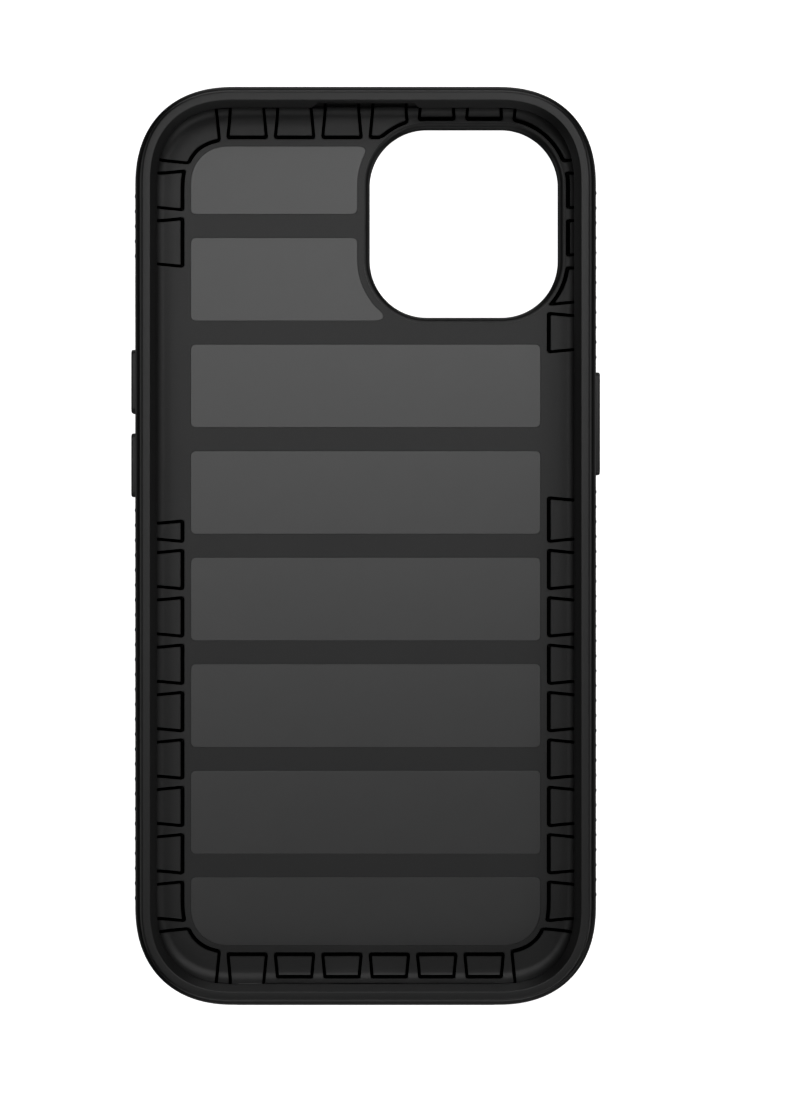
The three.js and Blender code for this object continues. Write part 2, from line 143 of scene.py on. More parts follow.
# ---- Inlay panels ----
PANEL_COUNT = 8
PANEL_PITCH = 17.93
PANEL_LENGTH = 13.93
PANEL_HALF_WIDTH = 29.4
PANEL_FIELD_HALF = 67.2
PANEL_RADIUS = 0.9
PANEL_FIELD_RADIUS = 6.4
PANEL_CAMERA_MARGIN = 2.1
PANEL_TIP_EASE = 1.25
PANEL_CORNER_POWER = 2.15
FAR_RIGHT = 60.0
PANEL_EDGE = 0.03
PANEL_GAP = 0.012
PANEL_POCKET_Z = 2.2

# ---- Keys ----
KEY_PROUD = 0.74
KEY_HEIGHT = 3.6
KEY_RADIUS = 0.9
KEY_EDGE = 0.3
KEY_GAP = 0.3
KEY_FLANGE = 0.45
KEY_FLANGE_THICKNESS = 0.4
KEY_FLANGE_ROUND = 0.08
KEY_NUB_INSET = 0.9
KEY_NUB_ROUND = 0.15
KEY_NUB_BACK = 0.1
KEYS = [
    ("volume_up_button", "volume_up", "left", 27.3, 10.6),
    ("volume_down_button", "volume_down", "left", 13.4, 10.6),
    ("side_button", "side_key", "right", 20.3, 17.1),
]

# ---- Side openings ----
SWITCH = {"y": 41.4, "z": 6.3, "length": 7.6, "height": 4.3, "radius": 1.0, "frame": 0.75}
PORT = {"z": 6.3, "length": 13.0, "height": 4.9, "radius": 2.05}
SPEAKER = {"x": 15.6, "length": 9.6, "height": 2.4, "radius": 1.1}
INSERT = {"half_length": 22.4, "half_height": 2.95, "radius": 1.6}
WINDOW_EDGE = 0.16
INSERT_EDGE = 0.1
SWITCH_MOUTH_EDGE = 0.4
PORT_MOUTH_EDGE = 0.35

# ---- Ridged grips ----
GRIP_PITCH = 2.49
GRIP_RIDGE = 1.7
GRIP_PROUD = 0.4
GRIP_DEPTH = 0.5
GRIP_TOP_Z = 8.6
GRIP_BACK_REACH = 9.0
GRIP_GAP = 0.1
GRIP_SEAT_GAP = 0.05
GRIP_EDGE = 0.12
GRIP_FADE_TOP = 2.9
GRIP_FADE_BACK = 1.6
GRIPS = [
    ("grip_left_upper", -1, 46.5, 60.2),
    ("grip_left_lower", -1, -60.2, 7.3),
    ("grip_right_upper", 1, 30.2, 60.2),
    ("grip_right_lower", 1, -60.2, 11.0),
]

# ---- The camera looks straight down; the view's height is that at the wall's upper edge ----
CAMERA_DISTANCE = 430.0
VIEW_PLANE_Z = 9.2
VIEW_HEIGHT = 183.75
SHIFT_RIGHT = 0.02693
SHIFT_UP = -0.00781
SENSOR = 36.0

# ---- Studio: a floor that curves up into a wall and a dome ----
STUDIO_RADIUS = 2600.0
STUDIO_BEND = 600.0
STUDIO_WALL = 3000.0
STUDIO_SIDES = 96

# The softboxes stand on a sphere round the case and face it: (name, direction clockwise from +Y
# seen from above, tilt from straight overhead, width, height, watts). The overhead ones light the
# floor of the case, the tilted ones its rounded edges, and the low and under ones its sides.
LIGHT_DISTANCE = 900.0
SOFTBOXES = [
    ("overhead_main", 0, 12, 500, 190, 0.92),
    ("overhead_centre", 0, 0, 500, 190, 0.15),
    ("upper_back", 0, 38, 500, 190, 0.7),
    ("upper_back_right", 45, 35, 350, 350, 0.85),
    ("upper_left", 270, 22, 350, 350, 0.36),
    ("upper_front", 180, 50, 500, 350, 0.65),
    ("upper_front_right", 135, 50, 350, 350, 0.83),
    ("low_back_strip", 0, 80, 500, 190, 0.34),
    ("low_back", 0, 91, 800, 260, 0.3),
    ("low_right", 90, 91, 800, 260, 0.3),
    ("low_front", 180, 91, 800, 260, 0.3),
    ("low_left", 270, 91, 800, 260, 0.3),
    ("under_back", 0, 118, 900, 420, 0.9),
    ("under_right", 90, 118, 900, 420, 0.6),
    ("under_front", 180, 118, 900, 420, 0.6),
    ("under_left", 270, 118, 900, 420, 0.5),
]


# ================= Small helpers =================


def ease(value):
    """0 below 0, 1 above 1, and a smooth step between."""
    t = np.clip(value, 0.0, 1.0)
    return t * t * (3.0 - 2.0 * t)


def rounded_least(a, b, radius):
    """The smaller of two distances from an edge, with the corner between the edges rounded."""
    return np.maximum(np.minimum(a, b), radius) - np.hypot(
        np.maximum(radius - a, 0.0), np.maximum(radius - b, 0.0)
    )


def arc(count, start=0.0, end=90.0):
    """Angles in radians from start to end degrees."""
    return np.radians(np.linspace(start, end, count + 1))


class Shape:
    """Collects points and faces for one mesh."""

    def __init__(self):
        self.blocks = []
        self.faces = []
        self.count = 0

    def add(self, points):
        points = np.asarray(points, float).reshape(-1, 3)
        self.blocks.append(points)
        self.count += len(points)
        return self.count - len(points)

    def grid(self, rows, wrap_rows=False, wrap_columns=True):
        """A sheet of quads through rows of points."""
        rows = np.asarray(rows, float)
        height, width = rows.shape[:2]
        start = self.add(rows)
        index = start + np.arange(height * width).reshape(height, width)
        lower = index if wrap_rows else index[:-1]
        upper = np.roll(index, -1, axis=0) if wrap_rows else index[1:]
        if wrap_columns:
            quads = (lower, np.roll(lower, -1, 1), np.roll(upper, -1, 1), upper)
        else:
            quads = (lower[:, :-1], lower[:, 1:], upper[:, 1:], upper[:, :-1])
        self.faces += np.stack(quads, -1).reshape(-1, 4).tolist()

    def cap(self, points):
        """One flat face round a loop of points."""
        start = self.add(points)
        self.faces.append(list(range(start, start + len(points))))

    def fill(self, outer, holes, z):
        """A flat sheet at height z inside an outer loop, with holes."""
        loops = [np.asarray(loop, float)[:, :2] for loop in (outer, *holes)]
        flat = np.concatenate(loops)
        edges = []
        start = 0
        for loop in loops:
            size = len(loop)
            edges += [(start + i, start + (i + 1) % size) for i in range(size)]
            start += size
        made = delaunay_2d_cdt([Vector(p) for p in flat], edges, [], 0, 1e-5)
        origin = [ids[0] if ids else -1 for ids in made[3]]
        where = np.array([tuple(p) for p in made[0]])
        triangles = np.array(made[2])
        middle = where[triangles].mean(axis=1)
        keep = inside(middle, loops[0])
        for loop in loops[1:]:
            keep &= ~inside(middle, loop)
        base = self.add(np.column_stack([flat, np.full(len(flat), z)]))
        for triangle in triangles[keep]:
            corners = [origin[i] for i in triangle]
            if min(corners) >= 0:
                self.faces.append([base + i for i in corners])

    def mesh(self, name):
        """The collected faces as one Blender mesh in metres, welded, facing outwards."""
        data = bpy.data.meshes.new(name)
        points = np.concatenate(self.blocks) * MM
        data.from_pydata(points.tolist(), [], self.faces)
        work = bmesh.new()
        work.from_mesh(data)
        bmesh.ops.remove_doubles(work, verts=work.verts, dist=2e-7)
        bmesh.ops.dissolve_degenerate(work, edges=work.edges, dist=1e-8)
        bmesh.ops.recalc_face_normals(work, faces=work.faces)
        work.to_mesh(data)
        work.free()
        return data


def inside(points, loop):
    """Which points lie inside a closed loop."""
    x, y = points[:, 0][:, None], points[:, 1][:, None]
    ax, ay = loop[:, 0][None], loop[:, 1][None]
    bx, by = np.roll(loop[:, 0], -1)[None], np.roll(loop[:, 1], -1)[None]
    crosses = (ay > y) != (by > y)
    rise = np.where(by == ay, 1.0, by - ay)
    hit = crosses & (x < ax + (y - ay) * (bx - ax) / rise)
    return hit.sum(axis=1) % 2 == 1


def new_object(name, data):
    thing = bpy.data.objects.new(name, data)
    bpy.context.scene.collection.objects.link(thing)
    return thing


def carve(thing, cutters):
    """Cuts closed shapes out of an object and keeps the result as its mesh."""
    for index, cutter in enumerate(cutters):
        tool = new_object(f"cutter_{index}", cutter.mesh("cutter"))
        step = thing.modifiers.new("cut", "BOOLEAN")
        step.operation = "DIFFERENCE"
        step.solver = "MANIFOLD"
        step.object = tool
    graph = bpy.context.evaluated_depsgraph_get()
    result = bpy.data.meshes.new_from_object(thing.evaluated_get(graph))
    for step in list(thing.modifiers):
        tool = step.object
        thing.modifiers.remove(step)
        bpy.data.objects.remove(tool)
    thing.data = result


def finish_piece(thing, body, nodes, material, sharp=38):
    """Shades a piece, gives it its material, and ties it to its CAD body and nodes."""
    data = thing.data
    data.shade_smooth()
    data.set_sharp_from_angle(angle=math.radians(sharp))
    data.materials.clear()
    data.materials.append(material)
    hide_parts(*nodes)
    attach(thing, body)


# ================= Outlines =================


class Outline:
    """The case's outline as four sides, each from one corner's diagonal to the next. A side has
    its outward direction, the direction that it runs in, and how far out it lies."""

    TURNS = [
        ((1, 0), (0, 1), WIDTH / 2, LENGTH / 2),
        ((0, 1), (-1, 0), LENGTH / 2, WIDTH / 2),
        ((-1, 0), (0, -1), WIDTH / 2, LENGTH / 2),
        ((0, -1), (1, 0), LENGTH / 2, WIDTH / 2),
    ]
    STEPS = 500

    def __init__(self):
        turn = arc(self.STEPS, 0, 45)
        u = np.cos(turn) ** (2 / CORNER_POWER)
        v = np.sin(turn) ** (2 / CORNER_POWER)
        normal = np.column_stack([u, v]) ** (CORNER_POWER - 1)
        normal /= np.linalg.norm(normal, axis=1)[:, None]
        points, normals, self.ends = [], [], [0]
        for out, run, reach, half in self.TURNS:
            away = reach - CORNER_SPAN * (1 - u)
            along = half - CORNER_SPAN * (1 - v)
            away = np.concatenate([away[::-1], away])
            along = np.concatenate([-along[::-1], along])
            normal_out = np.concatenate([normal[::-1, 0], normal[:, 0]])
            normal_run = np.concatenate([-normal[::-1, 1], normal[:, 1]])
            axes = np.array([out, run], float)
            points.append(np.column_stack([away, along]) @ axes)
            normals.append(np.column_stack([normal_out, normal_run]) @ axes)
            self.ends.append(self.ends[-1] + len(away))
        self.points = np.concatenate(points + [points[0][:1]])
        self.normals = np.concatenate(normals + [normals[0][:1]])
        steps = np.linalg.norm(np.diff(self.points, axis=0), axis=1)
        self.length_at = np.concatenate([[0], np.cumsum(steps)])
        self.total = self.length_at[-1]

    def at(self, station, inset):
        """Points at lengths along the outline, moved inwards by an inset."""
        s = np.mod(station, self.total)
        columns = [np.interp(s, self.length_at, self.points[:, i]) for i in (0, 1)]
        normal = np.stack([np.interp(s, self.length_at, self.normals[:, i]) for i in (0, 1)], -1)
        normal /= np.linalg.norm(normal, axis=-1)[..., None]
        return np.stack(columns, -1) - np.asarray(inset)[..., None] * normal

    def crossing(self, side, inset, base, lean):
        """Length along the outline where a leaning line meets one side's contour at an inset. The
        line is at base along the side at the cells' inner end."""
        low, high = self.ends[side], self.ends[side + 1]
        points = self.points[low:high] - inset * self.normals[low:high]
        place = line_place(points, side, lean)
        return np.interp(base, place, self.length_at[low:high])

    def loop(self, stations, inset, z):
        """A closed ring of points at one inset and one height."""
        flat = self.at(stations, np.broadcast_to(np.asarray(inset, float), stations.shape))
        return np.column_stack([flat, np.broadcast_to(z, stations.shape)])


def line_place(points, side, lean):
    """Where points lie along a side, as measured by lines that lean by the cells' taper."""
    out, run, reach, _ = Outline.TURNS[side]
    depth = reach - points @ np.array(out, float)
    return points @ np.array(run, float) + lean * CELL_TAPER * (depth - CELL_END)


def ring_stations(corner_step=0.55, straight_step=6.0):
    """Lengths along the outline, close together round the corners."""
    stations = []
    marks = []
    for side, (_, _, _, half) in enumerate(Outline.TURNS):
        middle = outline.crossing(side, 0, 0.0, 0)
        marks += [middle - (half - CORNER_SPAN), middle + (half - CORNER_SPAN)]
    for index, start in enumerate(marks):
        end = marks[(index + 1) % len(marks)] + (outline.total if index + 1 == len(marks) else 0)
        step = straight_step if index % 2 == 0 else corner_step
        stations.append(np.linspace(start, end, max(2, round((end - start) / step)) + 1)[:-1])
    return np.concatenate(stations)


def camera_loop(margin, steps=24):
    """The camera opening's outline, grown by a margin."""
    return (
        rounded_rectangle(CAMERA_HALF + margin, CAMERA_HALF + margin, CAMERA_RADIUS + margin, steps)
        + np.array([CAMERA_X, CAMERA_Y])
    )


def rounded_rectangle(half_a, half_b, radius, steps=8):
    """A rounded rectangle about the origin, counter-clockwise."""
    points = []
    for quarter, (sign_a, sign_b) in enumerate([(1, 1), (-1, 1), (-1, -1), (1, -1)]):
        turn = arc(steps, 90 * quarter, 90 * (quarter + 1))
        points.append(
            np.column_stack([
                sign_a * (half_a - radius) + radius * np.cos(turn),
                sign_b * (half_b - radius) + radius * np.sin(turn),
            ])
        )
    return np.concatenate(points)


def camera_distance(points):
    """How far points lie outside the camera opening; negative inside it."""
    away = np.abs(points - np.array([CAMERA_X, CAMERA_Y])) - (CAMERA_HALF - CAMERA_RADIUS)
    outside = np.hypot(np.maximum(away[..., 0], 0), np.maximum(away[..., 1], 0))
    return outside + np.minimum(np.maximum(away[..., 0], away[..., 1]), 0) - CAMERA_RADIUS


def lift(loop, z):
    """A flat loop at a height."""
    return np.column_stack([loop, np.full(len(loop), float(z))])


outline = Outline()


# ================= Outer shell =================


def outside_profile(steps=10):
    """Inset and height along the outside of the case, from the top of the grips down the wall and
    round to the back. Columns: inset, height, then inward direction."""
    turn = arc(steps)
    top = [(0, GRIP_TOP_Z, 1, 0)]
    edge = np.column_stack([
        BACK_EDGE_WIDTH * (1 - np.cos(turn)),
        BACK_Z + BACK_EDGE_RISE * (1 - np.sin(turn)),
        np.cos(turn) / BACK_EDGE_WIDTH,
        np.sin(turn) / BACK_EDGE_RISE,
    ])
    edge[:, 2:] /= np.linalg.norm(edge[:, 2:], axis=1)[:, None]
    back = [(GRIP_BACK_REACH, BACK_Z, 0, 1)]
    return np.concatenate([top, edge, back])


def shell_profile():
    """Inset and height round the shell's section, from the back up, over the top and down to the
    floor inside."""
    edge = arc(8)
    tilt = math.radians(SHELL_TOP_TILT)
    slope_from = SHELL_TOP_ROUND * (1 - math.sin(tilt))
    slope_z = SHELL_TOP_Z - (SEAM_OUTER - SEAM_EASE - slope_from) * math.tan(tilt)
    round_z = slope_z - SHELL_TOP_ROUND * math.cos(tilt)
    inner_width = BACK_EDGE_WIDTH - SHELL_WALL
    inner_rise = BACK_EDGE_RISE - SHELL_WALL
    return [
        *[
            (BACK_EDGE_WIDTH * (1 - math.sin(t)), BACK_Z + BACK_EDGE_RISE * (1 - math.cos(t)))
            for t in edge
        ],
        *[
            (SHELL_TOP_ROUND * (1 - math.cos(t)), round_z + SHELL_TOP_ROUND * math.sin(t))
            for t in arc(10, 0, 90 - SHELL_TOP_TILT)
        ],
        (SEAM_OUTER - SEAM_EASE, SHELL_TOP_Z),
        (SEAM_OUTER - SEAM_EASE / 3, SHELL_TOP_Z - SEAM_EASE / 4),
        (SEAM_OUTER, SHELL_TOP_Z - SEAM_EASE),
        (SEAM_OUTER, SEAM_FLOOR_Z),
        (SHELL_WALL, SEAM_FLOOR_Z),
        *[
            (SHELL_WALL + inner_width * (1 - math.cos(t)), SHELL_FLOOR_Z + inner_rise * (1 - math.sin(t)))
            for t in edge
        ],
    ]


def make_shell(material):
    stations = ring_stations()
    shape = Shape()
    rings = [outline.loop(stations, inset, z) for inset, z in shell_profile()]
    shape.grid(rings)
    # The seat of the camera guard, with an eased edge at the back.
    mouth = camera_loop(GUARD_WIDTH + SHELL_FIT + 0.08)
    eased = camera_loop(GUARD_WIDTH + SHELL_FIT + 0.02)
    guard = camera_loop(GUARD_WIDTH + SHELL_FIT)
    sleeve = camera_loop(SLEEVE + SHELL_FIT)
    recess_z = GUARD_HEIGHT + JOINT_GAP
    shape.fill(rings[0], [mouth], BACK_Z)
    shape.fill(rings[-1], [sleeve], SHELL_FLOOR_Z)
    shape.grid([
        lift(mouth, BACK_Z),
        lift(eased, BACK_Z + 0.03),
        lift(guard, BACK_Z + 0.1),
        lift(guard, recess_z),
        lift(sleeve, recess_z),
        lift(sleeve, SHELL_FLOOR_Z),
    ])
    shell = new_object("shell_visual", shape.mesh("shell_visual"))
    cutters = [grip_recess(*stretch[1:]) for stretch in GRIPS]
    cutters += key_windows(KEY_GAP, SHELL_WINDOW_DEPTH, WINDOW_EDGE)
    cutters += insert_windows(SHELL_FIT, SHELL_WINDOW_DEPTH, SHELL_WINDOW_DEPTH, SHELL_FIT)
    carve(shell, cutters)
    finish_piece(shell, "case", ["outer_shell"], material)


def grip_recess(side, low, high):
    """The hollow in the shell that a grip is let into."""
    path = outside_profile()
    outer = path[:, :2] - path[:, 2:]
    inner = path[:, :2] + (GRIP_DEPTH + GRIP_SEAT_GAP) * path[:, 2:]
    for line in (outer, inner):
        line[0, 1] += GRIP_GAP
        line[-1, 0] += GRIP_GAP
    rows = [grip_section(side, y, outer, inner) for y in (low - GRIP_GAP, high + GRIP_GAP)]
    shape = Shape()
    shape.grid(rows)
    for row in rows:
        shape.cap(row)
    return shape


def grip_section(side, y, outer, inner):
    """A closed section across the wall at y, between two lines of insets and heights."""
    section = np.concatenate([outer, inner[::-1]])
    return np.column_stack([
        side * (WIDTH / 2 - section[:, 0]), np.full(len(section), y), section[:, 1],
    ])


# ================= Windows and things in the walls =================


def on_wall(side, centre, height):
    """A function that puts points (along, up) at a depth behind a wall's outer face."""

    def place(points, depth):
        along = centre + points[:, 0]
        up = height + points[:, 1]
        deep = np.full(len(points), float(depth))
        if side == "left":
            return np.column_stack([-WIDTH / 2 + deep, along, up])
        if side == "right":
            return np.column_stack([WIDTH / 2 - deep, along, up])
        return np.column_stack([along, -LENGTH / 2 + deep, up])

    return place


def solid_on_wall(side, centre, height, half_a, half_b, radius, rings):
    """A closed bar through a wall: each ring is (margin, depth)."""
    place = on_wall(side, centre, height)
    loops = []
    for margin, depth in rings:
        corner = max(radius + margin, 0.05)
        loops.append(place(rounded_rectangle(half_a + margin, half_b + margin, corner), depth))
    shape = Shape()
    shape.grid(loops)
    shape.cap(loops[0])
    shape.cap(loops[-1])
    return shape


def window(side, centre, height, half_a, half_b, radius, margin, depth, edge=WINDOW_EDGE):
    """A cutter for a window whose outer edge is rounded."""
    rings = [(margin + edge, -1.0)]
    for t in arc(4):
        rings.append((margin + edge * (1 - math.sin(t)), edge * (1 - math.cos(t))))
    rings.append((margin, depth))
    return solid_on_wall(side, centre, height, half_a, half_b, radius, rings)


def key_windows(gap, depth, edge):
    """Cutters for the windows that the keys stand in."""
    return [
        window(side, y, KEY_Z, length / 2, KEY_HEIGHT / 2, KEY_RADIUS, gap, depth, edge)
        for _, _, side, y, length in KEYS
    ]


def switch_shape():
    """Where the mute switch opening is, and its half sizes and corner radius."""
    half_a, half_b = SWITCH["length"] / 2, SWITCH["height"] / 2
    return "left", SWITCH["y"], SWITCH["z"], half_a, half_b, SWITCH["radius"]


def insert_shape():
    """The same for the insert round the port."""
    return "bottom", 0, PORT["z"], INSERT["half_length"], INSERT["half_height"], INSERT["radius"]


def insert_windows(gap, switch_depth, port_depth, edge):
    """Cutters for the windows that the switch surround and the port surround are fitted in."""
    return [
        window(*switch_shape(), SWITCH["frame"] + gap, switch_depth, edge),
        window(*insert_shape(), gap, port_depth, edge),
    ]


def insert_rings(margin):
    """Rings of a bar that fills the wall, with eased edges outside and inside."""
    edge = INSERT_EDGE
    outer = [(margin - edge + edge * math.sin(t), edge * (1 - math.cos(t))) for t in arc(4)]
    inner = [(margin - edge + edge * math.cos(t), WALL - edge + edge * math.sin(t)) for t in arc(4)]
    return outer + inner


def make_insert(name, node, bar, openings, material):
    """A soft surround let into the wall, with its openings cut through it."""
    thing = new_object(name, bar.mesh(name))
    carve(thing, openings)
    finish_piece(thing, "case", [node], material)


def make_switch_surround(material):
    bar = solid_on_wall(*switch_shape(), insert_rings(SWITCH["frame"]))
    opening = window(*switch_shape(), 0.0, WALL + 1, SWITCH_MOUTH_EDGE)
    make_insert("switch_surround_visual", "switch_surround", bar, [opening], material)


def make_port_surround(material):
    bar = solid_on_wall(*insert_shape(), insert_rings(0.0))
    openings = []
    for x, slot in ((0, PORT), (-SPEAKER["x"], SPEAKER), (SPEAKER["x"], SPEAKER)):
        openings.append(window(
            "bottom", x, PORT["z"], slot["length"] / 2, slot["height"] / 2, slot["radius"],
            0.0, WALL + 1, PORT_MOUTH_EDGE,
        ))
    make_insert("port_surround_visual", "port_surround", bar, openings, material)


def make_key(name, body, side, y, length, material):
    """A key: a crowned head through the shell, a flange behind it, and a nub facing the phone."""
    flange = SHELL_WALL + KEY_GAP
    flange_end = flange + KEY_FLANGE_THICKNESS
    soft = KEY_FLANGE_ROUND
    nub_end = WALL - KEY_NUB_BACK
    rings = [(-KEY_EDGE - 0.5, -KEY_PROUD)]
    for t in arc(8):
        rings.append((-KEY_EDGE + KEY_EDGE * math.sin(t), -KEY_PROUD + KEY_EDGE * (1 - math.cos(t))))
    rings += [
        (0, flange),
        (KEY_FLANGE - soft, flange),
        (KEY_FLANGE, flange + soft),
        (KEY_FLANGE, flange_end - soft),
        (KEY_FLANGE - soft, flange_end),
        (-KEY_NUB_INSET, flange_end),
        (-KEY_NUB_INSET, nub_end - KEY_NUB_ROUND),
        (-KEY_NUB_INSET - KEY_NUB_ROUND, nub_end),
    ]
    shape = solid_on_wall(side, y, KEY_Z, length / 2, KEY_HEIGHT / 2, KEY_RADIUS, rings)
    thing = new_object(f"{body}_visual", shape.mesh(f"{body}_visual"))
    finish_piece(thing, body, [name], material, sharp=50)


def fine_path():
    """The outside profile with a point every quarter of a millimetre or closer."""
    path = outside_profile(steps=14)
    fine = [path[0]]
    for a, b in zip(path[:-1], path[1:]):
        count = max(1, math.ceil(np.linalg.norm(b[:2] - a[:2]) / 0.25))
        for step in range(1, count + 1):
            point = a + (b - a) * step / count
            point[2:] /= np.linalg.norm(point[2:])
            fine.append(point)
    return np.array(fine)


def grip_ridges(low, high):
    """Places along a grip, and the height of its ridges there as a share of the full height."""
    count = int((high - low) // GRIP_PITCH)
    first = (low + high) / 2 - (count - 1) / 2 * GRIP_PITCH
    ends = [low + 0.04, low + GRIP_EDGE, high - 0.04, high - GRIP_EDGE]
    ys = np.concatenate([np.linspace(low, high, int((high - low) / 0.2) + 1), ends])
    ys = np.unique(np.round(ys, 4))
    nearest = first + np.clip(np.round((ys - first) / GRIP_PITCH), 0, count - 1) * GRIP_PITCH
    away = np.abs(ys - nearest) / (GRIP_RIDGE / 2)
    ridge = np.where(away < 1, (0.5 + 0.5 * np.cos(math.pi * np.clip(away, 0, 1))) ** 0.8, 0)
    return ys, ridge


def make_grip(name, side, low, high, material):
    """A ridged skin that wraps from the side wall to the back."""
    path = fine_path()
    run = np.concatenate([[0], np.cumsum(np.linalg.norm(np.diff(path[:, :2], axis=0), axis=1))])
    fade = ease((run - 0.3) / GRIP_FADE_TOP) * ease((run[-1] - run - 0.2) / GRIP_FADE_BACK)
    edge_run = np.minimum(run, run[-1] - run)
    rows = []
    for y, height in zip(*grip_ridges(low, high)):
        near = np.minimum(min(y - low, high - y), edge_run)
        soften = GRIP_EDGE * (1 - np.sqrt(1 - (1 - np.clip(near / GRIP_EDGE, 0, 1)) ** 2))
        offset = GRIP_PROUD * height * fade * ease(near / 0.3) - soften
        outer = path[:, :2] - offset[:, None] * path[:, 2:]
        inner = path[:, :2] + GRIP_DEPTH * path[:, 2:]
        rows.append(grip_section(side, y, outer, inner))
    shape = Shape()
    shape.grid(rows)
    size = len(path)
    for row in (rows[0], rows[-1]):
        shape.grid([row[:size], row[size:][::-1]], wrap_columns=False)
    thing = new_object(f"{name}_visual", shape.mesh(f"{name}_visual"))
    if side > 0 and high > CAMERA_Y - CAMERA_HALF - GUARD_WIDTH:
        loop = camera_loop(GUARD_WIDTH + 2 * JOINT_GAP)
        ends = [lift(loop, -1), lift(loop, SEAT_Z)]
        cutter = Shape()
        cutter.grid(ends)
        for end in ends:
            cutter.cap(end)
        carve(thing, [cutter])
    finish_piece(thing, "case", [name], material, sharp=45)


# ================= Bezel rim =================


def make_rim(material):
    """The soft rim round the mouth, with its lip and the notch in it at the camera end."""
    top = outline.crossing(1, 0, 0.0, 0)
    notch = np.concatenate([
        top + sign * np.linspace(NOTCH_HALF - 0.5, NOTCH_MOUTH_HALF + 0.4, 12) for sign in (-1, 1)
    ])
    stations = np.unique(np.round(np.concatenate([ring_stations(0.45, 5.0), notch]), 5))
    across = stations - top
    slope = (NOTCH_MOUTH_HALF - np.abs(across)) / (NOTCH_MOUTH_HALF - NOTCH_HALF)
    lip = LIP_INSET - (LIP_INSET - NOTCH_INSET) * ease(slope)
    slope_end = LIP_SLOPE_Z + (LIP_INSET - lip) * (TOP_Z - LIP_SLOPE_Z) / (LIP_INSET - LIP_TOP_INSET)
    rings = []

    def ring(inset, z):
        rings.append(outline.loop(stations, inset, z))

    for t in arc(3):
        ring(RIM_INSET + RIM_FOOT_ROUND * (1 - math.sin(t)), RIM_Z + RIM_FOOT_ROUND * (1 - math.cos(t)))
    base = TOP_Z - RIM_EDGE_RISE
    for t in arc(12):
        ring(RIM_INSET + RIM_EDGE_WIDTH * (1 - math.cos(t)), base + RIM_EDGE_RISE * math.sin(t))
    fall = math.atan2(TOP_Z - LIP_SLOPE_Z, LIP_INSET - LIP_TOP_INSET)
    reach = LIP_BEND * math.tan(fall / 2)
    for t in np.linspace(0, fall, 6):
        ring(LIP_TOP_INSET - reach + LIP_BEND * math.sin(t), TOP_Z - LIP_BEND * (1 - math.cos(t)))
    nose_z = slope_end - LIP_NOSE * math.cos(fall) - LIP_NOSE_DROP
    for t in np.linspace(fall, math.pi / 2, 5):
        ring(lip - LIP_NOSE + LIP_NOSE * math.sin(t), nose_z + LIP_NOSE * math.cos(t))
    for t in arc(3):
        ring(lip - LIP_UNDER_ROUND * (1 - math.cos(t)), LIP_UNDER_Z + LIP_UNDER_ROUND * (1 - math.sin(t)))
    ring(WALL, LIP_UNDER_Z)
    ring(WALL, RIM_Z)
    shape = Shape()
    shape.grid(rings, wrap_rows=True)
    thing = new_object("rim_visual", shape.mesh("rim_visual"))
    finish_piece(thing, "case", ["bezel_rim"], material, sharp=42)


# ================= Inner liner =================

# Air cells on each side, in the direction that the side runs: how many there are each way from
# the middle, and the plain stretch behind the keys.
CELL_SIDES = [
    {"cells": 8, "plain": (8.4, 32.3)},
    {"cells": 3, "plain": None},
    {"cells": 8, "plain": (-46.7, -4.5)},
    {"cells": 3, "plain": None},
]


def cells():
    """Each cell's first and last edge as (side, place along the side), the inset where the cell
    ends, and whether it stops short of the wall."""
    found = []
    rib = CELL_PITCH / 2 - CELL_HALF
    for side, layout in enumerate(CELL_SIDES):
        before = (side - 1) % 4
        found.append({
            "first": (before, CELL_SIDES[before]["cells"] * CELL_PITCH + rib),
            "last": (side, -layout["cells"] * CELL_PITCH - rib),
            "end": CORNER_CELL_END,
            "stopped": False,
        })
        for index in range(-layout["cells"], layout["cells"]):
            middle = (index + 0.5) * CELL_PITCH
            first, last = middle - CELL_HALF, middle + CELL_HALF
            if layout["plain"]:
                start, end = layout["plain"]
                if start < middle < end:
                    continue
                if middle < start < middle + CELL_PITCH:
                    last = start
                if middle - CELL_PITCH < end < middle:
                    first = end
            found.append({
                "first": (side, first),
                "last": (side, last),
                "end": CELL_END,
                "stopped": side == 3 and index >= STOPPED_FROM,
            })
    return found


# Distances in from a cell's edge where the grid has a line, so that it follows the groove.
EDGE_LINES = [
    -0.3, -0.1, -0.04, -0.012, 0, 0.03, 0.1, 0.2, 0.29, 0.38, 0.45, 0.5, 0.54, 0.57, 0.6, 0.64, 0.74, 0.95,
]
# Insets at which the course of each grid line across the fillet is set.
COLUMN_INSETS = np.linspace(CELL_END, WALL, 6)
COLUMN_STEP = 0.7


def liner_columns(cell_list):
    """Lengths along the outline at each of the COLUMN_INSETS, for each grid column, and the inset
    where the cells end there."""
    pairs = []
    ends = []
    for cell in cell_list:
        for key, lean, lines in (("first", 1, EDGE_LINES), ("last", -1, EDGE_LINES[::-1])):
            side, base = cell[key]
            for line in lines:
                place = base + lean * line
                pairs.append([outline.crossing(side, inset, place, lean) for inset in COLUMN_INSETS])
                ends.append(cell["end"] if line > -0.05 else CELL_END)
    pairs = np.array(pairs)
    jump = pairs[1:] < pairs[:-1] - outline.total / 2
    pairs[1:] += outline.total * np.cumsum(jump, axis=0)
    loop = np.concatenate([pairs, pairs[:1] + outline.total])
    columns = []
    column_ends = []
    for here, after, end, end_after in zip(loop[:-1], loop[1:], ends, ends[1:] + ends[:1]):
        count = max(1, math.ceil((after[-1] - here[-1]) / COLUMN_STEP))
        for step in range(count):
            columns.append(here + (after - here) * step / count)
            column_ends.append(end if step == 0 else min(end, end_after))
    return np.array(columns), np.array(column_ends)


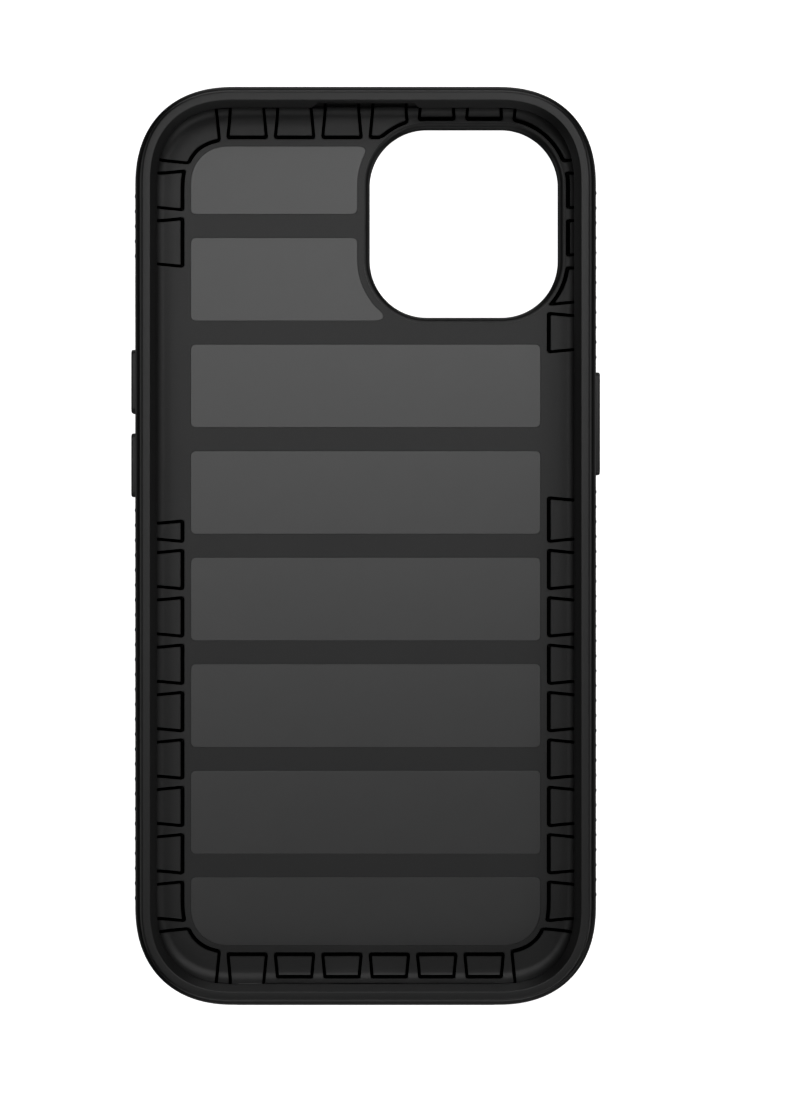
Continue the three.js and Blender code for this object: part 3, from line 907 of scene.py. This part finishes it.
def profile_point(travel):
    """Inset, height and slope angle after travelling along the floor and up the fillet."""
    turn = np.clip(travel / FILLET, 0, math.pi / 2)
    inset = np.where(travel < 0, FLOOR_INSET - travel, FLOOR_INSET - FILLET * np.sin(turn))
    return inset, SEAT_Z + FILLET * (1 - np.cos(turn)), turn


def travel_of(inset):
    """The inverse of profile_point for an inset."""
    turn = np.arcsin(np.clip((FLOOR_INSET - inset) / FILLET, 0, 1))
    return np.where(inset > FLOOR_INSET, FLOOR_INSET - inset, FILLET * turn)


def cell_depth(points, inset, cell_list):
    """How deep the liner's surface lies below the plain tray, and whether that is in a groove."""
    scale = GROOVE_SIDE_WIDTH / GROOVE_END_WIDTH
    by_camera = camera_distance(points) - CAMERA_CELL_MARGIN
    deep = np.zeros(points.shape[:-1])
    in_groove = np.zeros(points.shape[:-1], bool)
    for cell in cell_list:
        (side_a, base_a), (side_b, base_b) = cell["first"], cell["last"]
        first = line_place(points, side_a, 1) - base_a
        last = base_b - line_place(points, side_b, -1)
        near = np.minimum(first, last) > -0.2
        for side in (side_a, side_b):
            near &= points @ np.array(Outline.TURNS[side][0], float) > HALF_SPACE
        end = np.minimum(cell["end"] - inset, by_camera) * scale
        within = np.minimum(
            rounded_least(first, end, CELL_CORNER), rounded_least(last, end, CELL_CORNER)
        )
        if cell["stopped"]:
            for edge in (first, last):
                within = np.minimum(within, rounded_least(edge, inset - STOP_INSET, STOP_CORNER))
        within = np.where(near, within, -1.0)
        groove = GROOVE_DEPTH * (1 - np.abs(2 * within / GROOVE_SIDE_WIDTH - 1))
        pad = PAD_DEPTH * ease((within - GROOVE_SIDE_WIDTH + LIP_SPAN) / LIP_SPAN)
        # Marks the groove walls that the liner's material paints with shade.
        in_groove = np.where(groove > deep, groove > pad + 0.02, in_groove)
        deep = np.maximum(deep, np.maximum(groove, pad))
    return deep, in_groove.astype(float)


# Points closer to the middle than this don't belong to a side's cells.
HALF_SPACE = 20.0
# Distances in from the cells' inner end where the grid has a row, as shares of the end groove.
END_ROWS = [
    -0.2, -0.12, -0.06, -0.02, 0.0, 0.06, 0.2, 0.34, 0.5, 0.66, 0.78, 0.86, 0.92, 0.98, 1.04, 1.12, 1.3, 1.85,
]
# Where the rows after those lie: shares of the way to the top of the fillet while on the floor,
# and then insets up the fillet.
FLOOR_ROWS = [0.1, 0.2, 0.28, 0.34]
FILLET_ROWS = [4.4, 4.25, 4.12, *np.arange(4.0, 2.8, -0.07), 2.76, FOOT_INSET]
WALL_ROWS = [0.04, 0.1, 0.2, 0.4, 0.6, 0.8, 0.93, 1.0]


def mark_grooves(data, points, values):
    """Stores on each vertex whether it lies in a groove, for the liner's material, which paints shade there.
    """
    tree = KDTree(len(points))
    for index, point in enumerate(points * MM):
        tree.insert(point, index)
    tree.balance()
    layer = data.attributes.new("groove", "FLOAT", "POINT")
    for vertex in data.vertices:
        _, index, distance = tree.find(vertex.co)
        layer.data[vertex.index].value = values[index] if distance < 1e-6 else 0.0


def column_station(columns):
    """A function that gives each column's length along the outline at an inset."""
    each = np.arange(len(columns))
    last = len(COLUMN_INSETS) - 1

    def station(inset):
        place = np.broadcast_to((CELL_END - inset) / (CELL_END - WALL) * last, each.shape)
        knot = np.clip(place.astype(int), 0, last - 1)
        share = place - knot
        return columns[each, knot] * (1 - share) + columns[each, knot + 1] * share

    return station


def end_insets(station, ends):
    """The inset where each column lies at each of the END_ROWS: its distance in from the cells'
    inner end or from the camera, whichever it meets first."""
    probe = np.linspace(WALL - 0.3, CORNER_CELL_END + 1.2, 260)
    clear = []
    for inset in probe:
        points = outline.at(station(inset), np.full(len(ends), inset))
        clear.append(np.minimum(ends - inset, camera_distance(points) - CAMERA_CELL_MARGIN))
    levels = np.array(END_ROWS) * GROOVE_END_WIDTH
    return np.array([np.interp(levels, line[::-1], probe[::-1]) for line in np.array(clear).T]).T


def surface_row(travel, station, cell_list):
    """One row of points over the floor and the fillet, and which of them lie in a groove."""
    inset, z, turn = profile_point(travel)
    flat = outline.at(station(inset), inset)
    deep, in_groove = cell_depth(flat, inset, cell_list)
    # Where cells stop short of the wall, the groove that closes them goes straight down.
    along = flat[:, 0] / CELL_PITCH
    stopped = (flat[:, 1] < -LENGTH / 4) & (along > STOPPED_FROM) & (along < STOPPED_TO)
    by_stop = stopped * ease((STOP_NEAR - np.abs(inset - STOP_INSET)) / STOP_BLEND)
    lean = turn * (1 - by_stop)
    moved = outline.at(station(inset), inset - deep * np.sin(lean))
    return np.column_stack([moved, z - deep * np.cos(lean)]), in_groove


def wall_rows(at_wall, cell_list):
    """Rows of points down into the relief groove and up the wall, and whether they lie in it."""
    foot_inset = np.full(len(at_wall), FOOT_INSET)
    deep, _ = cell_depth(outline.at(at_wall, foot_inset), foot_inset, cell_list)
    path = [
        # The relief groove's floor is marked as groove, so the liner's material paints shade on it as a dark
        # line under the lip.
        (FOOT_INSET - FOOT_SLANT, FOOT_FLOOR_Z, 1.0),
        (WALL + FOOT_SLANT, FOOT_FLOOR_Z, 1.0),
        (WALL, FOOT_TOP_Z, 0.0),
    ]
    path += [(WALL, FOOT_TOP_Z + (SHELL_TOP_Z - FOOT_TOP_Z) * share, 0.0) for share in WALL_ROWS]
    for inset, z, in_groove in path:
        yield lift(outline.at(at_wall, inset - deep), z), np.full(len(at_wall), in_groove)


def liner_surface():
    """Rows of points over the liner's inside, whether each lies in a groove, and the lengths along
    the outline where the columns meet the wall."""
    cell_list = cells()
    columns, ends = liner_columns(cell_list)
    station = column_station(columns)
    reach = end_insets(station, ends)
    travels = [travel_of(level) for level in reach]
    start = travels[-1]
    end = float(travel_of(np.array(FOOT_INSET)))
    plain_start = FLOOR_INSET - (CELL_END - END_ROWS[-1] * GROOVE_END_WIDTH)
    shares = FLOOR_ROWS + [(travel_of(inset) - plain_start) / (end - plain_start) for inset in FILLET_ROWS]
    travels += [start + (end - start) * share for share in shares]
    made = [surface_row(travel, station, cell_list) for travel in travels]
    made += wall_rows(columns[:, -1], cell_list)
    rows = [row for row, _ in made]
    rows[0][:, 2] = SEAT_Z
    return rows, [in_groove for _, in_groove in made], columns[:, -1]


def add_pocket(shape, index):
    """The pocket in the floor that a panel lies in. Returns its outline in the floor."""
    rings = [
        panel_ring(index, PANEL_EDGE + 0.03, SEAT_Z),
        panel_ring(index, PANEL_EDGE + PANEL_GAP, SEAT_Z),
        panel_ring(index, 0.3 * PANEL_EDGE + PANEL_GAP, SEAT_Z - 0.3 * PANEL_EDGE),
        panel_ring(index, PANEL_GAP, SEAT_Z - PANEL_EDGE),
        panel_ring(index, PANEL_GAP, PANEL_POCKET_Z),
    ]
    shape.grid(rings)
    shape.cap(rings[-1])
    return rings[0]


def make_liner(material):
    rows, grooves, at_wall = liner_surface()
    outer = [outline.loop(at_wall, LINER_INSET, SHELL_TOP_Z)]
    for turn in arc(6):
        inset = LINER_INSET + FILLET * (1 - math.cos(turn))
        outer.append(outline.loop(at_wall, inset, LINER_Z + FILLET * (1 - math.sin(turn))))
    hole = camera_loop(SLEEVE)
    shape = Shape()
    shape.grid(rows)
    shape.grid([rows[-1], *outer])
    pockets = [add_pocket(shape, index) for index in range(PANEL_COUNT)]
    shape.fill(rows[0], [hole, *pockets], SEAT_Z)
    shape.fill(outer[-1], [hole], LINER_Z)
    shape.grid([lift(hole, SEAT_Z), lift(hole, LINER_Z)])
    data = shape.mesh("liner_visual")
    mark_grooves(data, np.concatenate(rows), np.concatenate(grooves))
    thing = new_object("liner_visual", data)
    cutters = key_windows(KEY_FLANGE + KEY_GAP, WALL + 2, 0.01)
    cutters += insert_windows(LINER_FIT, WALL + 2, WALL + 0.5, 0.01)
    carve(thing, cutters)
    finish_piece(thing, "case", ["inner_liner"], material, sharp=62)


# ================= Inlay panels =================


def panel_outline(index, grow):
    """A floor panel's outline, counter-clockwise from its upper left corner."""
    middle = ((PANEL_COUNT - 1) / 2 - index) * PANEL_PITCH
    top = min(middle + PANEL_LENGTH / 2, PANEL_FIELD_HALF) + grow
    bottom = max(middle - PANEL_LENGTH / 2, -PANEL_FIELD_HALF) - grow
    side = PANEL_HALF_WIDTH + grow
    small = PANEL_RADIUS + grow
    big = PANEL_FIELD_RADIUS + grow
    top_radius = big if index == 0 else small
    bottom_radius = big if index == PANEL_COUNT - 1 else small
    beside_camera = bottom < CAMERA_Y + CAMERA_HALF and top > CAMERA_Y - CAMERA_HALF
    corners = [(-side, top, top_radius), (-side, bottom, bottom_radius)]
    if not beside_camera:
        corners += [(side, bottom, bottom_radius), (side, top, top_radius)]
        return corner_rounded(corners)
    margin = PANEL_CAMERA_MARGIN - grow
    half = CAMERA_HALF + margin
    radius = CAMERA_RADIUS + margin
    ys = np.linspace(bottom, top, 41)
    past = np.maximum(np.abs(ys - CAMERA_Y) - (half - radius), 0)
    xs = CAMERA_X - half + radius - np.sqrt(radius**2 - past**2)
    return beside_curve(corners, np.column_stack([xs, ys]), small)


def corner_rounded(corners):
    """A polygon with rounded corners that are easier at their ends than a circle."""
    points = []
    for index, (x, y, radius) in enumerate(corners):
        here = np.array([x, y])
        before = np.array(corners[index - 1][:2])
        after = np.array(corners[(index + 1) % len(corners)][:2])
        a = (before - here) / np.linalg.norm(before - here)
        b = (after - here) / np.linalg.norm(after - here)
        count = 10 if radius < 2 else 26
        for t in arc(count):
            reach_a = 1 - math.sin(t) ** (2 / PANEL_CORNER_POWER)
            reach_b = 1 - math.cos(t) ** (2 / PANEL_CORNER_POWER)
            points.append(here + radius * (a * reach_a + b * reach_b))
    return np.array(points)


def bend(before, corner, after, steps=12):
    """A rounded corner between two points."""
    share = np.linspace(0, 1, steps + 1)[:, None]
    return (1 - share) ** 2 * before + 2 * share * (1 - share) * corner + share**2 * after


def beside_curve(corners, curve, radius):
    """A panel beside the camera: its left corners are rounded as usual, and its right side
    follows the camera opening, with a rounded corner at each end of it."""
    (_, top, _), (_, bottom, _) = corners
    far = [(FAR_RIGHT, bottom, radius), (FAR_RIGHT, top, radius)]
    rounded = corner_rounded([*corners, *far])
    left = rounded[rounded[:, 0] < 0]
    lengths = np.concatenate([[0], np.cumsum(np.linalg.norm(np.diff(curve, axis=0), axis=1))])

    def trimmed(corner, near):
        angle = math.acos((corner[0] - near[0]) / np.linalg.norm(near - corner))
        return PANEL_TIP_EASE * radius / math.tan(angle / 2)

    low = trimmed(curve[0], curve[3])
    high = trimmed(curve[-1], curve[-4])
    inner = np.linspace(low, lengths[-1] - high, 40)
    middle = np.column_stack([np.interp(inner, lengths, curve[:, axis]) for axis in (0, 1)])
    return np.concatenate([
        left,
        bend(curve[0] - (low, 0), curve[0], middle[0]),
        middle[1:-1],
        bend(middle[-1], curve[-1], curve[-1] - (high, 0)),
    ])


def panel_ring(index, grow, z):
    return lift(panel_outline(index, grow), z)


def make_panel(index, material):
    rings = [
        panel_ring(index, -PANEL_EDGE - 0.02, SEAT_Z),
        panel_ring(index, -PANEL_EDGE, SEAT_Z),
        panel_ring(index, -0.3 * PANEL_EDGE, SEAT_Z - 0.3 * PANEL_EDGE),
        panel_ring(index, 0, SEAT_Z - PANEL_EDGE),
        panel_ring(index, 0, PANEL_POCKET_Z + 0.02),
    ]
    shape = Shape()
    shape.grid(rings)
    shape.cap(rings[0])
    shape.cap(rings[-1])
    name = f"inner_panel_{index + 1}_visual"
    thing = new_object(name, shape.mesh(name))
    finish_piece(thing, "case", [f"inner_panel_{index + 1}"], material, sharp=30)


# ================= Camera ring =================


def make_camera_ring(material):
    """The ring round the camera opening: it rounds over from the floor, and its guard stands
    proud of the back."""
    rings = []

    def ring(margin, z):
        rings.append(lift(camera_loop(margin, 32), z))

    edge = SLEEVE - 0.02
    for t in arc(12):
        ring(edge - edge * math.sin(t), SEAT_Z - RING_ROUND * (1 - math.cos(t)))
    small, large = GUARD_INNER_ROUND, GUARD_OUTER_ROUND
    for t in arc(4):
        ring(small * (1 - math.cos(t)), small * (1 - math.sin(t)))
    for t in arc(5):
        ring(GUARD_WIDTH - large * (1 - math.sin(t)), large * (1 - math.cos(t)))
    ring(GUARD_WIDTH, GUARD_HEIGHT)
    ring(edge, GUARD_HEIGHT)
    shape = Shape()
    shape.grid(rings, wrap_rows=True)
    thing = new_object("camera_ring_visual", shape.mesh("camera_ring_visual"))
    finish_piece(thing, "case", ["camera_ring"], material, sharp=50)


# ================= Materials =================


class Nodes:
    """A small builder for a material's nodes."""

    def __init__(self, name):
        self.material = bpy.data.materials.new(name)
        self.material.use_nodes = True
        self.tree = self.material.node_tree
        self.tree.nodes.clear()
        output = self.tree.nodes.new("ShaderNodeOutputMaterial")
        self.shader = self.tree.nodes.new("ShaderNodeBsdfPrincipled")
        self.link(self.shader.outputs[0], output.inputs["Surface"])
        self.place = self.tree.nodes.new("ShaderNodeTexCoord").outputs["Object"]

    def link(self, a, b):
        self.tree.links.new(a, b)

    def noise(self, size_mm, detail=2.0):
        """Noise whose blotches are about size_mm across."""
        node = self.tree.nodes.new("ShaderNodeTexNoise")
        node.inputs["Scale"].default_value = 1 / (size_mm * MM)
        node.inputs["Detail"].default_value = detail
        node.inputs["Roughness"].default_value = 0.5
        self.link(self.place, node.inputs["Vector"])
        return node.outputs["Fac"]

    def span(self, value, low, high):
        """The middle of a noise's range moved to another range."""
        node = self.tree.nodes.new("ShaderNodeMapRange")
        node.inputs["From Min"].default_value = 0.3
        node.inputs["From Max"].default_value = 0.7
        node.inputs["To Min"].default_value = low
        node.inputs["To Max"].default_value = high
        self.link(value, node.inputs["Value"])
        return node.outputs["Result"]

    def attribute(self, name):
        """A value stored on the mesh."""
        node = self.tree.nodes.new("ShaderNodeAttribute")
        node.attribute_name = name
        return node.outputs["Fac"]

    def blend(self, value, low, high):
        """A colour between two, by a value. The first may be another node's output."""
        node = self.tree.nodes.new("ShaderNodeMix")
        node.data_type = "RGBA"
        colours = [socket for socket in node.inputs if socket.type == "RGBA"]
        if isinstance(low, tuple):
            colours[0].default_value = (*low, 1)
        else:
            self.link(low, colours[0])
        colours[1].default_value = (*high, 1)
        self.link(value, node.inputs[0])
        return [socket for socket in node.outputs if socket.type == "RGBA"][0]

    def blend_numbers(self, value, low, high):
        """A number between another node's output and a constant, by a value."""
        node = self.tree.nodes.new("ShaderNodeMix")
        node.data_type = "FLOAT"
        numbers = [socket for socket in node.inputs if socket.type == "VALUE"]
        self.link(value, numbers[0])
        self.link(low, numbers[1])
        numbers[2].default_value = high
        return node.outputs[0]

    def bump(self, height, distance_mm, strength):
        node = self.tree.nodes.new("ShaderNodeBump")
        node.inputs["Distance"].default_value = distance_mm * MM
        node.inputs["Strength"].default_value = strength
        self.link(height, node.inputs["Height"])
        return node.outputs["Normal"]


def moulded(name, tone, roughness, grain, gloss_spread=0.012, specular=0.5, paints_groove_shade=False):
    """Moulded plastic or rubber: a fine grain, a slightly mottled colour and an uneven gloss.
    Where the mesh marks a groove, the wall is smooth and its colour is painted near black as shade."""
    nodes = Nodes(name)
    shader = nodes.shader
    low = tuple(tone * share for share in (0.9, 0.9, 0.92))
    high = tuple(tone * share for share in (1.1, 1.1, 1.12))
    colour = nodes.blend(nodes.span(nodes.noise(6.0, 3.0), 0, 1), low, high)
    gloss = nodes.span(nodes.noise(0.9, 3.0), roughness - gloss_spread, roughness + gloss_spread)
    if paints_groove_shade:
        groove = nodes.attribute("groove")
        # Painted shade: walls of the marked grooves are coloured near black, and their gloss is set smoother.
        colour = nodes.blend(groove, colour, GROOVE_PAINTED_SHADE)
        gloss = nodes.blend_numbers(groove, gloss, GROOVE_ROUGHNESS)
    nodes.link(colour, shader.inputs["Base Color"])
    nodes.link(gloss, shader.inputs["Roughness"])
    shader.inputs["Specular IOR Level"].default_value = specular
    grain_size, grain_depth = grain
    nodes.link(nodes.bump(nodes.noise(grain_size, 2.0), grain_depth, 0.5), shader.inputs["Normal"])
    return nodes.material


shell_plastic = moulded("black_shell_plastic", 0.005, 0.38, (0.16, 0.003))
liner_rubber = moulded("dark_liner_rubber", 0.007, 0.48, (0.2, 0.003), specular=0.57, paints_groove_shade=True)
rim_rubber = moulded("dark_rim_rubber", 0.005, 0.44, (0.2, 0.002), specular=0.56)
ring_plastic = moulded("black_ring_plastic", 0.005, 0.44, (0.18, 0.002))
panel_plastic = moulded("grey_panel_plastic", 0.0145, 0.38, (0.3, 0.0004), 0.003, 1.0)
key_plastic = moulded("black_key_plastic", 0.007, 0.42, (0.16, 0.002))
grip_rubber = moulded("black_grip_rubber", 0.006, 0.52, (0.14, 0.006))

# ================= The object =================

make_shell(shell_plastic)
make_rim(rim_rubber)
make_liner(liner_rubber)
make_camera_ring(ring_plastic)
make_switch_surround(liner_rubber)
make_port_surround(liner_rubber)
for panel in range(PANEL_COUNT):
    make_panel(panel, panel_plastic)
for node, body, side, y, length in KEYS:
    make_key(node, body, side, y, length, key_plastic)
for name, side, low, high in GRIPS:
    make_grip(name, side, low, high, grip_rubber)

# ================= Stage, light and camera =================

def make_camera():
    data = bpy.data.cameras.new("camera")
    data.sensor_fit = "VERTICAL"
    data.sensor_height = SENSOR
    data.sensor_width = SENSOR
    data.lens = SENSOR * CAMERA_DISTANCE / VIEW_HEIGHT
    data.shift_x = SHIFT_RIGHT
    data.shift_y = SHIFT_UP
    data.clip_start = 0.01
    data.clip_end = 50
    camera = new_object("camera", data)
    camera.location = (0, 0, (VIEW_PLANE_Z + CAMERA_DISTANCE) * MM)
    bpy.context.scene.camera = camera


def make_studio():
    """A pale floor that curves up into a wall all round. Only the camera sees it, so that it
    doesn't light the case from below."""
    turns = np.linspace(0, 2 * math.pi, STUDIO_SIDES + 1)[:-1]
    flat = STUDIO_RADIUS - STUDIO_BEND
    profile = [(flat, 0.0)]
    profile += [(flat + STUDIO_BEND * math.sin(t), STUDIO_BEND * (1 - math.cos(t))) for t in arc(12)]
    profile.append((STUDIO_RADIUS, STUDIO_WALL))
    for t in arc(8, 0, 80):
        profile.append((STUDIO_RADIUS * math.cos(t), STUDIO_WALL + STUDIO_RADIUS * math.sin(t)))
    shape = Shape()
    rings = [lift(np.column_stack([r * np.cos(turns), r * np.sin(turns)]), z) for r, z in profile]
    shape.grid(rings)
    shape.cap(rings[0])
    studio = new_object("studio", shape.mesh("studio"))
    studio.data.shade_smooth()
    nodes = Nodes("pale_studio")
    nodes.shader.inputs["Base Color"].default_value = (0.9, 0.9, 0.9, 1)
    nodes.shader.inputs["Roughness"].default_value = 0.9
    nodes.shader.inputs["Emission Color"].default_value = (1, 1, 1, 1)
    nodes.shader.inputs["Emission Strength"].default_value = 1.0
    studio.data.materials.append(nodes.material)
    studio.visible_diffuse = False
    studio.visible_glossy = False
    studio.visible_transmission = False
    studio.visible_shadow = False


def add_softbox(name, turn, tilt, width, height, watts):
    turn, tilt = math.radians(turn), math.radians(tilt)
    outward = Vector((
        math.sin(turn) * math.sin(tilt), math.cos(turn) * math.sin(tilt), math.cos(tilt),
    ))
    across = Vector((math.cos(turn), -math.sin(turn), 0))
    data = bpy.data.lights.new(name, "AREA")
    data.shape = "RECTANGLE"
    data.size, data.size_y = width * MM, height * MM
    data.energy = watts
    light = new_object(name, data)
    axes = Matrix((across, outward.cross(across), outward)).transposed()
    light.matrix_world = Matrix.Translation(outward * LIGHT_DISTANCE * MM) @ axes.to_4x4()


def make_world():
    world = bpy.data.worlds.new("studio")
    world.use_nodes = True
    background = world.node_tree.nodes["Background"]
    background.inputs["Color"].default_value = (1, 1, 1, 1)
    background.inputs["Strength"].default_value = 0.004
    bpy.context.scene.world = world


make_camera()
make_studio()
make_world()
for softbox in SOFTBOXES:
    add_softbox(*softbox)
bpy.context.scene.view_settings.view_transform = "Standard"
